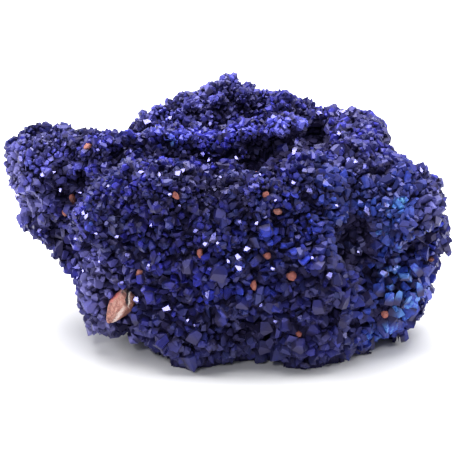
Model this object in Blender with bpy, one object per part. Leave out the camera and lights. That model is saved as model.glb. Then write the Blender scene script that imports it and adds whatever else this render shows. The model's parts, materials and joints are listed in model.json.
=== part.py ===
"""Azurite specimen: one mass of intergrown azurite crystals that grips chips of pink host rock.

The mass is roughed out as overlapping lobes with hollows between them, skinned into one surface,
and then divided into cells. Every cell grows one crystal: a leaning point or a slant-topped blade.
The underside is the flat face where the specimen broke from the vein. Each chip of host rock is
its own solid, and sits in a socket in the crystals.

Metres, +Z up, +X to the specimen's right, +Y to its back. The origin is on the flat underside.
"""

import math
import random

import bmesh
import bpy
from mathutils import Euler, Matrix, Vector, noise
from mathutils.bvhtree import BVHTree

MM = 0.001

# Driving dimensions, in metres.
SKIN_VOXEL = 0.9 * MM  # grid that joins the lobes into one skin
SKIN_SMOOTHING = 4  # passes that soften the creases between lobes
CRYSTAL_ALLOWANCE = 1.3  # millimetres that the skin lies inside the lobes, for the crystals to fill
SWELL_HEIGHT, SWELL_SPAN = 1.3 * MM, 11 * MM  # gentle unevenness of the lobes
KNOB_HEIGHT, KNOB_SPAN = 1.0 * MM, 5.2 * MM  # rounded clusters of crystals
GRAIN_HEIGHT, GRAIN_SPAN = 0.5 * MM, 2.2 * MM  # small lumps within a cluster
SKIN_TRIANGLES = 2150  # skin triangles, and about twice the number of crystals
BLADE_SHARE = 0.16  # crystals with a slanted flat top; the others come to a point
POINT_HEIGHT = (0.26, 0.66)  # of the width of its cell
BLADE_HEIGHT = (0.25, 0.55)
LEAN = 0.34  # how far a point leans sideways, of the width of its cell
SOCKET_SPARE = 0.42 * MM  # corner to corner, which leaves a gap of about 0.3 mm around a rock
SOCKET_REACH = 2.5 * MM  # how far a socket runs outward, so that no crystal covers the rock
SHOWN = 0.12  # how far a rock's middle stands over the feet of the crystals, of its depth
TAPER = 0.4  # how much wider a rock is at its upper end than in its middle
GOLDEN_ANGLE = math.pi * (3 - math.sqrt(5))
SETTLE_PASSES = 40  # most rounds of easing back the crystals that cross a neighbour
SETTLE_WIDENS = 6  # rounds before the easing widens
GROUND = -1.0 * MM  # height of the flat underside among the lobes
SEED = 21

# Lobes of solid azurite: name, centre, radii and turn about X, Y, Z, in millimetres and degrees.
LOBES = [
    ("core", (2, 3, 14), (25, 13, 14.5), (0, 0, 0)),
    ("front", (-1.5, -6.5, 14.5), (20.5, 11, 14), (0, 0, 0)),
    ("front_right", (13, -7.5, 13), (13, 10.5, 13.5), (0, 0, 0)),
    ("front_left", (-13.2, -5, 17.5), (9.8, 9.5, 10.5), (0, 0, 0)),
    ("shoulder_left", (-18.6, -5.5, 20.6), (8, 7.5, 8.4), (0, 0, 0)),
    ("brow_left", (-9, -8.8, 26.2), (9, 5.8, 5.4), (0, 0, 0)),
    ("brow_right", (4, -10.3, 25), (8, 5.8, 5.4), (0, 0, 0)),
    ("saddle_right", (13, -6.2, 25.2), (8.5, 6.5, 6.6), (0, 0, 0)),
    ("foot_middle", (-3, -8.5, 4.5), (12.5, 10, 8.4), (0, 0, 0)),
    ("foot_right", (13, -8, 4.5), (11, 10.2, 8.8), (0, 0, 0)),
    ("foot_far_right", (22, -5, 6), (8.2, 8.5, 7.8), (0, 0, 0)),
    ("foot_left", (-18.2, -5.5, 7.2), (6.4, 7.5, 7.8), (0, 0, 0)),
    ("ledge_left", (-18.8, -4, 11), (5, 8, 5), (0, 0, 0)),
    ("foot_root", (3, -1, 3.5), (20, 12, 7), (0, 0, 0)),
    ("foot_back", (2, 7, 4.5), (18, 11, 10), (0, 0, 0)),
    ("dome_right", (26, -4, 21.4), (8.8, 9.5, 8.2), (0, 0, 0)),
    ("lobe_right", (26.6, -2, 8.6), (7, 9, 8), (0, 0, 0)),
    ("rim_right", (30.8, 0.5, 15.8), (4.6, 9, 7.4), (0, 0, 0)),
    ("knob_left", (-25, 6, 22.4), (9, 9, 9.2), (0, 0, 0)),
    ("knob_tip", (-31.2, 8, 23.8), (4.2, 7, 6), (0, 0, 0)),
    ("knob_low", (-28, 6.5, 17), (6, 6.5, 6), (0, 0, 0)),
    ("neck_left", (-21, 1.5, 14.2), (5.6, 8, 7), (0, 0, 0)),
    ("crest_left", (-8.6, 0.6, 29.8), (11, 3.9, 3.8), (0, 0, 4)),
    ("crest_left_end", (-18.4, 1, 29.0), (6.5, 5, 3.8), (0, 0, 0)),
    ("crest_middle", (1.6, 0, 31), (7, 3.7, 3.4), (0, -6, 0)),
    ("crest_peak", (9.6, -0.8, 32.8), (5.8, 3.9, 3.6), (0, 0, 0)),
    ("crest_right", (19.1, 1, 27.2), (6, 6.5, 5.4), (0, 0, 0)),
    ("crest_root", (-1, 0.6, 27), (17, 4.2, 4.4), (0, 0, 0)),
    ("ridge_left", (-11, 15, 25.2), (6, 5.5, 5.8), (0, -24, 0)),
    ("ridge_step", (-4, 16.4, 28.4), (6.4, 5.2, 6.2), (0, 0, 0)),
    ("ridge_peak", (1.4, 16.4, 31), (4.8, 4.8, 5.4), (0, 0, 0)),
    ("ridge_right", (8.4, 16, 28), (7.4, 5.4, 6.4), (0, 12, 0)),
    ("ridge_far_right", (15.4, 14, 26.2), (6, 5.6, 6.2), (0, 0, 0)),
    ("ridge_end", (21, 9.5, 26.2), (5.6, 7, 5.8), (0, 0, 0)),
    ("ridge_root", (3, 14, 23), (16, 5.6, 8), (0, 0, 0)),
    ("back", (3, 10, 16), (20, 10.5, 12), (0, 0, 0)),
    ("back_left", (-10, 12, 15), (9, 8, 9), (0, 0, 0)),
    ("back_low", (11, 13, 8.5), (11, 8, 9), (0, 0, 0)),
]

# Hollows and crevices in the mass, in the same form.
HOLLOWS = [
    ("valley", (-1, 8.2, 34.5), (19, 3.6, 10.5), (0, 0, -3)),
    ("valley_left", (-17, 9, 31.5), (7, 4, 6.5), (0, 0, 20)),
    ("under_crest_left", (-10, -4.3, 31.6), (12, 2.9, 4.8), (12, 0, 0)),
    ("under_crest_right", (1.5, -4.9, 32), (7.5, 2.9, 4.8), (12, 0, 0)),
    ("pit_crest", (7, -5.2, 31.4), (2.6, 3.6, 3.8), (0, 0, 0)),
    ("pit_right", (14, -3.6, 33), (2.1, 3.6, 3.6), (0, 0, 0)),
    ("crevice_right", (19.4, -13.6, 19.6), (3.2, 6.4, 3.4), (0, 0, 0)),
    ("crevice_right_low", (21.8, -13.5, 12.4), (2, 5.6, 5.8), (0, -18, 0)),
    ("under_dome", (29, -10.4, 17.8), (5.2, 5, 1.9), (0, -30, 0)),
    ("dome_edge", (33.4, -6.6, 20.5), (1.6, 5, 4), (0, 10, 0)),
    ("face_knob", (-26, -3.4, 25.4), (5, 3.6, 4.8), (0, 10, 0)),
    ("crease_knob", (-23, -4.6, 24), (2.4, 4.8, 6), (0, 35, 0)),
    ("under_front", (3, -18.5, 6.4), (7, 3.2, 2), (0, 0, 0)),
    ("pit_middle", (6.3, -18.2, 24.4), (1.8, 4, 1.6), (0, 0, 0)),
    ("back_crease", (-1, 24, 14), (2.6, 5, 8), (0, 24, 0)),
    ("back_pit", (15, 22, 20), (3, 4, 3), (0, 0, 0)),
]


AZURITE = (0.035, 0.035, 0.16)
PINK = (0.55, 0.30, 0.22)
ORANGE = (0.60, 0.20, 0.11)

# Pieces of host rock in the crystals: name, place, width, length and depth, turn and colour.
# A place is near the surface, where the piece is then seated, with its length upright at turn 0.
ROCKS = [
    ("rock_chip", (-16.3, -12.2, 8.4), (3.0, 6.9, 2.8), -37, PINK),
    ("rock_grain_01", (-23.6, -1.2, 21.1), (1.1, 1.9, 1.1), 20, ORANGE),
    ("rock_grain_02", (-25.0, -1.4, 19.0), (1.4, 1.2, 1.1), 0, ORANGE),
    ("rock_grain_03", (-21.1, -1.4, 30.0), (1.1, 1.5, 1.1), -10, PINK),
    ("rock_grain_04", (-7.4, -13.7, 27.1), (1.1, 1.4, 1.0), 30, ORANGE),
    ("rock_grain_05", (4.5, -7.8, 28.0), (1.4, 1.1, 1.1), 60, PINK),
    ("rock_grain_06", (5.9, -13.6, 27.2), (1.1, 1.1, 1.0), 10, ORANGE),
    ("rock_grain_07", (8.3, -14.4, 24.3), (1.8, 1.1, 1.1), -25, PINK),
    ("rock_grain_08", (6.1, -15.6, 18.1), (1.4, 1.1, 1.1), 0, ORANGE),
    ("rock_grain_09", (9.8, -16.2, 15.1), (1.8, 1.6, 1.3), 15, ORANGE),
    ("rock_grain_10", (4.2, -15.8, 13.4), (1.1, 1.9, 1.1), 5, ORANGE),
    ("rock_grain_11", (-3.8, -15.7, 18.6), (1.1, 1.6, 1.1), 10, ORANGE),
    ("rock_grain_12", (-13.0, -14.2, 14.5), (1.5, 1.2, 1.1), 70, PINK),
    ("rock_grain_13", (24.2, -12.1, 6.7), (1.4, 1.2, 1.1), -20, ORANGE),
    ("rock_grain_14", (31.6, -5.9, 13.1), (1.1, 1.0, 1.0), 0, ORANGE),
    ("rock_grain_15", (11.0, -16.7, 5.7), (1.1, 1.0, 1.0), 40, ORANGE),
    ("rock_grain_16", (-14.0, 18.0, 20.0), (1.6, 1.4, 1.2), 20, PINK),
    ("rock_grain_17", (9.0, 21.0, 12.0), (1.9, 1.5, 1.3), 65, ORANGE),
    ("rock_grain_18", (30.0, 6.0, 22.0), (1.4, 1.6, 1.1), 0, PINK),
    ("rock_grain_19", (-2.0, 20.0, 27.0), (1.2, 1.4, 1.1), -35, ORANGE),
]


def ellipsoid(mesh, centre, radii, turn, detail=4):
    """Adds one closed ellipsoid to a bmesh, from millimetres and degrees."""
    place = Matrix.Translation(Vector(centre) * MM)
    place @= Euler([math.radians(angle) for angle in turn]).to_matrix().to_4x4()
    place @= Matrix.Diagonal([radius * MM for radius in radii] + [1])
    bmesh.ops.create_icosphere(mesh, subdivisions=detail, radius=1, matrix=place)


def new_object(name, mesh):
    """Makes an object from a bmesh, which it frees."""
    data = bpy.data.meshes.new(name)
    mesh.to_mesh(data)
    mesh.free()
    made = bpy.data.objects.new(name, data)
    bpy.context.scene.collection.objects.link(made)
    return made


def evaluated(obj):
    """The object's mesh with its modifiers applied, as a bmesh."""
    mesh = bmesh.new()
    mesh.from_object(obj, bpy.context.evaluated_depsgraph_get())
    return mesh


def keep_largest(shape):
    """Deletes every loose piece but the one with the most vertices, such as a sliver or an inner void."""
    left = set(shape.verts)
    pieces = []
    while left:
        piece = {left.pop()}
        front = list(piece)
        while front:
            near = {edge.other_vert(vertex) for vertex in front for edge in vertex.link_edges}
            front = list(near - piece)
            piece |= near
        left -= piece
        pieces.append(piece)
    pieces.sort(key=len)
    for piece in pieces[:-1]:
        bmesh.ops.delete(shape, geom=list(piece), context="VERTS")


def voxel_join(obj):
    join = obj.modifiers.new("join", "REMESH")
    join.mode = "VOXEL"
    join.voxel_size = SKIN_VOXEL


def rough_skin():
    """One closed skin over the lobes, with the hollows cut in it, as a bmesh."""
    shape = bmesh.new()
    for _, centre, radii, turn in LOBES:
        ellipsoid(shape, centre, [radius - CRYSTAL_ALLOWANCE for radius in radii], turn)
    skin = new_object("skin", shape)
    voxel_join(skin)
    shape = bmesh.new()
    for _, centre, radii, turn in HOLLOWS:
        ellipsoid(shape, centre, radii, turn)
    hollows = new_object("hollows", shape)
    voxel_join(hollows)
    cut = skin.modifiers.new("hollows", "BOOLEAN")
    cut.object = hollows
    cut.operation = "DIFFERENCE"
    voxel_join(skin)
    soften = skin.modifiers.new("soften", "SMOOTH")
    soften.iterations = SKIN_SMOOTHING
    shape = evaluated(skin)
    keep_largest(shape)
    bpy.data.objects.remove(skin)
    bpy.data.objects.remove(hollows)
    return shape


def knob(point):
    """Height of the rounded clusters at a point, from -1 in the creases to 1 on top."""
    distances, _ = noise.voronoi(point / KNOB_SPAN)
    return 1 - 2.2 * distances[0]


def add_relief(shape):
    """Moves the skin in and out, for the clusters of crystals."""
    shape.normal_update()
    moves = [
        vertex.normal
        * (
            SWELL_HEIGHT * noise.noise(vertex.co / SWELL_SPAN)
            + KNOB_HEIGHT * knob(vertex.co)
            + GRAIN_HEIGHT * noise.noise(vertex.co / GRAIN_SPAN)
        )
        for vertex in shape.verts
    ]
    for vertex, move in zip(shape.verts, moves):
        vertex.co += move


def cells_of(shape):
    """Divides the skin into uneven many-sided cells, the feet of the crystals."""
    skin = new_object("skin", shape)
    faces = len(skin.data.polygons) * 2
    thin = skin.modifiers.new("thin", "DECIMATE")
    thin.ratio = SKIN_TRIANGLES / faces
    thin.use_collapse_triangulate = True
    nodes = bpy.data.node_groups.new("dual", "GeometryNodeTree")
    nodes.interface.new_socket("Mesh", in_out="INPUT", socket_type="NodeSocketGeometry")
    nodes.interface.new_socket("Mesh", in_out="OUTPUT", socket_type="NodeSocketGeometry")
    start = nodes.nodes.new("NodeGroupInput")
    dual = nodes.nodes.new("GeometryNodeDualMesh")
    end = nodes.nodes.new("NodeGroupOutput")
    nodes.links.new(start.outputs[0], dual.inputs["Mesh"])
    nodes.links.new(dual.outputs[0], end.inputs[0])
    skin.modifiers.new("cells", "NODES").node_group = nodes
    shape = evaluated(skin)
    bpy.data.objects.remove(skin)
    return shape


def grow_crystals(shape, draw):
    """Raises one crystal on each cell. Returns its raised vertices, each with its place in the cell."""
    shape.normal_update()
    plans = []
    tips = {}
    for cell in shape.faces:
        width = math.sqrt(cell.calc_area())
        side = Vector([draw.uniform(-1, 1) for _ in range(3)])
        side -= side.project(cell.normal)
        plans.append((cell, width, cell.normal.copy(), side, draw.random() < BLADE_SHARE, draw.random()))
    for cell, width, out, side, is_blade, tall in plans:
        low, high = BLADE_HEIGHT if is_blade else POINT_HEIGHT
        rise = out * width * (low + (high - low) * tall)
        if is_blade:
            bmesh.ops.inset_individual(shape, faces=[cell], thickness=width * 0.2)
            middle = cell.calc_center_median()
            slant = side.normalized() * 0.3
            for vertex in cell.verts:
                tips[vertex] = vertex.co.copy()
                vertex.co += rise + out * slant.dot(vertex.co - middle)
        else:
            tip = bmesh.ops.poke(shape, faces=[cell])["verts"][0]
            tips[tip] = tip.co.copy()
            tip.co += rise + side * width * LEAN
    bmesh.ops.triangulate(shape, faces=shape.faces)
    return tips


def settle(shape, tips):
    """Eases the crystals that cut through a neighbour back towards their feet, until none does.

    Where that isn't enough, the smoothing widens by one ring of vertices every few rounds.
    """
    for attempt in range(SETTLE_PASSES):
        tree = BVHTree.FromBMesh(shape)
        shape.faces.ensure_lookup_table()
        crossed = set()
        for first, second in tree.overlap(tree):
            one, other = shape.faces[first], shape.faces[second]
            if not set(one.verts) & set(other.verts):
                crossed.update(one.verts, other.verts)
        if not crossed:
            return
        for _ in range(attempt // SETTLE_WIDENS):
            crossed.update([edge.other_vert(vertex) for vertex in crossed for edge in vertex.link_edges])
        eased = []
        for vertex in crossed:
            around = [edge.other_vert(vertex).co for edge in vertex.link_edges]
            rest = tips.get(vertex, sum(around, Vector()) / len(around))
            eased.append((vertex, vertex.co.lerp(rest, 0.4)))
        for vertex, place in eased:
            vertex.co = place
    raise ValueError("crystals still cross after settling")


def rock(mesh, size, corners, draw, seat, spare=0.0, reach=0.0):
    """Adds one angular rock to a bmesh: the hull of a few corners, narrower at its lower end.

    With spare and reach it is the rock's socket, larger all round and open to the outside.
    """
    made = bmesh.new()
    for index in range(corners):
        height = 1 - 2 * (index + 0.5) / corners
        angle = index * GOLDEN_ANGLE + draw.uniform(-0.3, 0.3)
        wide = math.sqrt(1 - height * height) * (1 + TAPER * height) * draw.uniform(0.86, 1.1)
        corner = Vector((wide * math.cos(angle), height, wide * math.sin(angle)))
        half = Vector([(side * MM + 2 * spare) / 2 for side in size])
        for outward in {0.0, reach}:
            made.verts.new(seat @ (corner * half + Vector((0, 0, outward))))
    hull = bmesh.ops.convex_hull(made, input=made.verts)
    inner = list(set(hull["geom_interior"] + hull["geom_unused"]))
    bmesh.ops.delete(made, geom=inner, context="VERTS")
    bmesh.ops.recalc_face_normals(made, faces=made.faces)
    data = bpy.data.meshes.new("rock")
    made.to_mesh(data)
    made.free()
    mesh.from_mesh(data)
    bpy.data.meshes.remove(data)


def seat_of(tree, place, depth, turn):
    """Where a rock sits: across the skin at the place, a little over half of it buried."""
    point, out, _, _ = tree.find_nearest(Vector(place) * MM)
    along = Vector((0, 0, 1)) - out * out.z
    along.normalize()
    axes = Matrix((along.cross(out), along, out)).transposed().to_4x4()
    seat = Matrix.Translation(point + out * depth * MM * SHOWN)
    return seat @ axes @ Matrix.Rotation(math.radians(turn), 4, "Z")


def paint(obj, name, colour, roughness):
    material = bpy.data.materials.new(name)
    material.use_nodes = True
    shader = material.node_tree.nodes["Principled BSDF"]
    shader.inputs["Base Color"].default_value = (*colour, 1)
    shader.inputs["Roughness"].default_value = roughness
    shader.inputs["Metallic"].default_value = 0
    obj.data.materials.append(material)


def difference(obj, cutter, name):
    cutter.hide_render = True
    cutter.display_type = "WIRE"
    cut = obj.modifiers.new(name, "BOOLEAN")
    cut.object = cutter
    cut.operation = "DIFFERENCE"


def main():
    for old in list(bpy.data.objects):
        bpy.data.objects.remove(old)
    draw = random.Random(SEED)
    noise.seed_set(SEED)
    shape = rough_skin()
    add_relief(shape)
    shape = cells_of(shape)
    feet = BVHTree.FromBMesh(shape)
    settle(shape, grow_crystals(shape, draw))
    crystals = new_object("crystals", shape)
    below = bmesh.new()
    bmesh.ops.create_cube(below, size=1, matrix=Matrix.Translation((0, 0, GROUND - 0.5)))
    difference(crystals, new_object("ground_cut", below), "flat_underside")
    sockets = bmesh.new()
    rocks = {}
    for index, (name, place, size, turn, colour) in enumerate(ROCKS):
        seat = seat_of(feet, place, size[2], turn)
        corners = 26 if name == "rock_chip" else 12
        rocks[name] = bmesh.new(), colour
        rock(rocks[name][0], size, corners, random.Random(index), seat)
        rock(sockets, size, corners, random.Random(index), seat, SOCKET_SPARE, SOCKET_REACH)
    difference(crystals, new_object("socket_cut", sockets), "sockets")
    shape = evaluated(crystals)
    keep_largest(shape)
    for helper in list(bpy.data.objects):
        bpy.data.objects.remove(helper)
    low = [min(vertex.co[axis] for vertex in shape.verts) for axis in range(3)]
    high = [max(vertex.co[axis] for vertex in shape.verts) for axis in range(3)]
    to_origin = -Vector(((low[0] + high[0]) / 2, (low[1] + high[1]) / 2, low[2]))
    bmesh.ops.translate(shape, vec=to_origin, verts=shape.verts)
    paint(new_object("azurite_mass", shape), "azurite", AZURITE, 0.25)
    for name, (shape, colour) in rocks.items():
        bmesh.ops.translate(shape, vec=to_origin, verts=shape.verts)
        paint(new_object(name, shape), name, colour, 0.7)


main()
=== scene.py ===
# %% [markdown]
# # An azurite specimen
#
# Azurite is a deep blue copper mineral. This specimen is a druse: thousands of crystals, each
# one or two millimetres long, have grown side by side until they fused into one lump. Here and
# there they closed around a bit of the pink host rock.
#
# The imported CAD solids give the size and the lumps. This script dresses them in three steps.
# A dark body fills the lump, crystals are grown all over it, and the bits of rock are carved
# finer. Everything is in metres.

# %% Load the solids
import json
import math
import random
from typing import NamedTuple

import bmesh
import bpy
import numpy as np
from mathutils import Matrix, Vector, noise
from mathutils.bvhtree import BVHTree

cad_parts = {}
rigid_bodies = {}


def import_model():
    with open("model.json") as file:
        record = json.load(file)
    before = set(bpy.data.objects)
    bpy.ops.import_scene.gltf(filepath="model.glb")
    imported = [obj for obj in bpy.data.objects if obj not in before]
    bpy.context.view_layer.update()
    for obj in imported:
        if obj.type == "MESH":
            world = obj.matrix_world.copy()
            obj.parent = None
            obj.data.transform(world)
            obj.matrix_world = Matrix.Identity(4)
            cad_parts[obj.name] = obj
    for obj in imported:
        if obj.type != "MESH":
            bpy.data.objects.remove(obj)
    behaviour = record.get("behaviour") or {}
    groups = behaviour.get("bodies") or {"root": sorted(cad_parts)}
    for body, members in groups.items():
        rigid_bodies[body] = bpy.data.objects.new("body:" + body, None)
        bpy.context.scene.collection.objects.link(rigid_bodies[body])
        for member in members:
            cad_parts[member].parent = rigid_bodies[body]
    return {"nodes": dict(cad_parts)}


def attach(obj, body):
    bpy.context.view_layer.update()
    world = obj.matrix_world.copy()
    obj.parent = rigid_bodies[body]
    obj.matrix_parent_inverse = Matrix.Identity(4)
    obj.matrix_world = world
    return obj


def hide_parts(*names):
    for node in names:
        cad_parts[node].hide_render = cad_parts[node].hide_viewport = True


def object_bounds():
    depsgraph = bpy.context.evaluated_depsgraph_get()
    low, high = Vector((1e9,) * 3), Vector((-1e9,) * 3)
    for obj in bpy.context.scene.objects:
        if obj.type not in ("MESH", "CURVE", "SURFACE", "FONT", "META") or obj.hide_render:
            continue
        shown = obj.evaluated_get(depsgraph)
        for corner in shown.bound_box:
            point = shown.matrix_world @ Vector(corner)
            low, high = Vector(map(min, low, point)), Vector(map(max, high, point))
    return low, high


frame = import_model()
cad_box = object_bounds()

MM = 0.001
NOISE_SEED = 5
noise.seed_set(NOISE_SEED)  # else the clock seeds the offsets of noise_vector, and each run differs
print("solids:", len(frame["nodes"]))
print("box in mm:", [[round(c / MM, 1) for c in corner] for corner in cad_box])

# %% [markdown]
# ## The camera
#
# A small thing is looked at from close by, but a short lens would make its middle bulge. A 150 mm
# lens from 29 cm away sees it almost without perspective, from a little above.

# %% Camera
LENS = 150
SENSOR = 36
LOOK_DOWN = math.radians(24)
AIM = Vector((0.08, -1.61, 17.15)) * MM
WIDTH_IN_VIEW = 70.6 * MM

camera = bpy.data.objects.new("camera", bpy.data.cameras.new("camera"))
camera.data.lens = LENS
camera.data.sensor_width = SENSOR
camera.data.clip_start = 0.01
toward_camera = Vector((0, -math.cos(LOOK_DOWN), math.sin(LOOK_DOWN)))
camera.location = AIM + toward_camera * WIDTH_IN_VIEW * LENS / SENSOR
camera.rotation_euler = (-toward_camera).to_track_quat("-Z", "Y").to_euler()
bpy.context.scene.collection.objects.link(camera)
bpy.context.scene.camera = camera
print("camera at", [round(c, 3) for c in camera.location])

# %% [markdown]
# ## Shader maths
#
# Later cells mix colours with sums such as `1 - mask * 0.5`. In the node editor each sign would be
# one Math node. This small class stands for a socket, and turns Python's own operators into those
# nodes. Its `node` method adds any other node from its type, settings and inputs.


# %% A socket that can be added and multiplied
class Wire:
    """A number, vector or colour that flows through a node tree."""

    def __init__(self, tree, socket):
        self.tree = tree
        self.socket = socket

    def node(self, kind, settings=None, output=0, **inputs):
        """Adds a node: its settings come first, then the values or links of its sockets."""
        made = self.tree.nodes.new(kind)
        for name, value in (settings or {}).items():
            if name == "stops":
                ramp = made.color_ramp.elements
                while len(ramp) < len(value):
                    ramp.new(0.5)
                for element, (place, colour) in zip(ramp, value):
                    element.position = place
                    element.color = (*colour, 1)
            else:
                setattr(made, name, value)
        for name, value in inputs.items():
            key = int(name[1:]) if name[0] == "i" and name[1:].isdigit() else name.replace("_", " ")
            socket = made.inputs[key]
            if isinstance(value, Wire):
                self.tree.links.new(value.socket, socket)
            else:
                socket.default_value = value
        return Wire(self.tree, made.outputs[output])

    def math(self, operation, first, second=0.0):
        return self.node("ShaderNodeMath", {"operation": operation}, i0=first, i1=second)

    def __add__(self, other):
        return self.math("ADD", self, other)

    __radd__ = __add__

    def __mul__(self, other):
        return self.math("MULTIPLY", self, other)

    __rmul__ = __mul__

    def __sub__(self, other):
        return self.math("SUBTRACT", self, other)

    def __rsub__(self, other):
        return self.math("SUBTRACT", other, self)

    def __pow__(self, other):
        return self.math("POWER", self, other)

    def clamped(self, low, high):
        """Stretches low..high to 0..1, and cuts off what is outside."""
        smooth = {"interpolation_type": "SMOOTHSTEP"}
        return self.node("ShaderNodeMapRange", smooth, Value=self, From_Min=low, From_Max=high)

    def noise(self, scale, detail):
        """A cloudy noise at this place, from 0 to 1. The scale is in waves a metre."""
        solid = {"noise_dimensions": "3D"}
        return self.node("ShaderNodeTexNoise", solid, Vector=self, Scale=scale, Detail=detail)

    def bump(self, strength, depth):
        """Normals that tilt as if this number lifted the surface."""
        return self.node("ShaderNodeBump", Strength=strength, Distance=depth, Height=self)

    def mixed(self, other, share):
        """This colour, with a share of another one mixed in."""
        return self.node("ShaderNodeMix", {"data_type": "RGBA"}, output=2, Factor=share, i6=self, i7=other)


def new_material(name):
    """A new material with one Principled shader. Returns it, the shader and a starting wire."""
    material = bpy.data.materials.new(name)
    material.use_nodes = True
    shader = material.node_tree.nodes["Principled BSDF"]
    place = material.node_tree.nodes.new("ShaderNodeTexCoord").outputs["Object"]
    return material, shader, Wire(material.node_tree, place)


def plug(wire, shader, socket):
    wire.tree.links.new(wire.socket, shader.inputs[socket])


# %% [markdown]
# ## The floor and the light
#
# Azurite is so dark that its shape is read from reflections. A white floor and big soft lights
# give each flat face a pale sheen, and one small hard light makes a few faces flash.

# %% Floor
FLOOR_SIZE = 3.0

floor_shape = bmesh.new()
bmesh.ops.create_grid(floor_shape, x_segments=1, y_segments=1, size=FLOOR_SIZE / 2)
floor_mesh = bpy.data.meshes.new("floor")
floor_shape.to_mesh(floor_mesh)
floor_shape.free()
floor = bpy.data.objects.new("floor", floor_mesh)
bpy.context.scene.collection.objects.link(floor)
paper, paper_shader, _ = new_material("white_paper")
paper_shader.inputs["Base Color"].default_value = (0.86, 0.86, 0.87, 1)
paper_shader.inputs["Roughness"].default_value = 0.9
paper_shader.inputs["Specular IOR Level"].default_value = 0.2
floor_mesh.materials.append(paper)
print("floor", FLOOR_SIZE, "m wide")


# %% Lights
def softbox(name, place, size, power, colour=(1, 1, 1)):
    """A square area light that faces the specimen."""
    light = bpy.data.lights.new(name, "AREA")
    light.size = size
    light.energy = power
    light.color = colour
    made = bpy.data.objects.new(name, light)
    made.location = place
    made.rotation_euler = (AIM - made.location).to_track_quat("-Z", "Y").to_euler()
    bpy.context.scene.collection.objects.link(made)


softbox("top_light", Vector((0.0, 0.18, 0.55)), 0.65, 9.8)
softbox("left_light", Vector((-0.5, 0.10, 0.2)), 0.25, 2.2)
softbox("right_light", Vector((0.5, 0.10, 0.2)), 0.25, 1.6)
softbox("flash", Vector((-0.12, -0.45, 0.42)), 0.08, 0.6)
world = bpy.data.worlds.new("studio")
world.use_nodes = True
world.node_tree.nodes["Background"].inputs["Color"].default_value = (0.9, 0.93, 1.0, 1)
world.node_tree.nodes["Background"].inputs["Strength"].default_value = 0.2
bpy.context.scene.world = world
bpy.context.scene.view_settings.view_transform = "Standard"

# %% [markdown]
# ## The body under the crystals
#
# Between the crystals one looks down on older crystals in shadow. They could be modelled too, but
# nobody would see more than a dark, uneven ground. So the ground is a copy of the CAD solid, made
# softer by a voxel remesh. The bits of rock are joined in first, which fills their sockets, so that
# each bit sits fast in it. The remesh rounds off the tips, and a small push outward makes up for
# that. The underside stays where the solid's is, because the specimen rests on it.


# %% Helpers for shapes
def copy_of(node):
    """A bmesh of a CAD node, with its loose triangles merged into one closed shape."""
    made = bmesh.new()
    made.from_mesh(frame["nodes"][node].data)
    bmesh.ops.remove_doubles(made, verts=made.verts, dist=1e-6)
    return made


def object_from(name, shape):
    """Makes an object from a bmesh, which it frees."""
    mesh = bpy.data.meshes.new(name)
    shape.to_mesh(mesh)
    shape.free()
    made = bpy.data.objects.new(name, mesh)
    bpy.context.scene.collection.objects.link(made)
    return made


def with_modifiers(obj):
    """The shape of an object with its modifiers applied, as a bmesh. The object goes."""
    made = bmesh.new()
    made.from_object(obj, bpy.context.evaluated_depsgraph_get())
    bpy.data.objects.remove(obj)
    return made


def finished(obj, material, nodes):
    """Gives a piece its material, attaches it to the root body, and hides the solids that it stands for.
    """
    obj.data.materials.clear()
    obj.data.materials.append(material)
    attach(obj, "root")
    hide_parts(*nodes)


# %% Ground
GROUND_VOXEL = 0.55 * MM
GROUND_SMOOTHING = 5
GROWN = 0.3 * MM
UNDERSIDE_BAND = 1.0 * MM
FACES_DOWN = -0.7


def is_underside(vertex):
    """Whether a vertex belongs to the flat break that the specimen rests on."""
    return vertex.co.z < UNDERSIDE_BAND and vertex.normal.z < FACES_DOWN


ROCKS = sorted(name for name in frame["nodes"] if name.startswith("rock"))
joined = copy_of("azurite_mass")
for name in ROCKS:
    joined.from_mesh(frame["nodes"][name].data)
rough = object_from("ground", joined)
remesh = rough.modifiers.new("remesh", "REMESH")
remesh.mode = "VOXEL"
remesh.voxel_size = GROUND_VOXEL
soften = rough.modifiers.new("soften", "SMOOTH")
soften.iterations = GROUND_SMOOTHING
ground = with_modifiers(rough)
ground.normal_update()
for vertex in ground.verts:
    if not is_underside(vertex):
        vertex.co += vertex.normal * GROWN
    vertex.co.z = max(vertex.co.z, 0.0)
ground.normal_update()
print("ground:", len(ground.faces), "faces")

# %% [markdown]
# The large lobes come from the solid, and here single places are pushed in or out by a millimetre
# or two. They are easiest to name as they are seen from the camera, in a view 452 units wide. A
# ray through that point of the view finds the spot on the ground, and the push fades out from it.

# %% Places as the camera sees them
VIEW = 452
LOOK = camera.rotation_euler.to_matrix()
FLASH_PLACE = bpy.data.objects["flash"].location


def seen_at(across, down, tree=None):
    """(place, normal) on the ground, where the camera sees it at this point of its view."""
    tree = tree or ground_tree
    unit = SENSOR / LENS / VIEW
    ray = LOOK @ Vector(((across - VIEW / 2) * unit, (VIEW / 2 - down) * unit, -1))
    place, normal, _, _ = tree.ray_cast(camera.location, ray.normalized())
    if place is None:  # just past the edge, so the nearest point of the ground is meant
        place, normal, _, _ = tree.find_nearest(camera.location + ray * (AIM - camera.location).length)
    return place, normal


FADE = 1.2  # how quickly a push or a tone fades: it is down to a third at its reach
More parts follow.
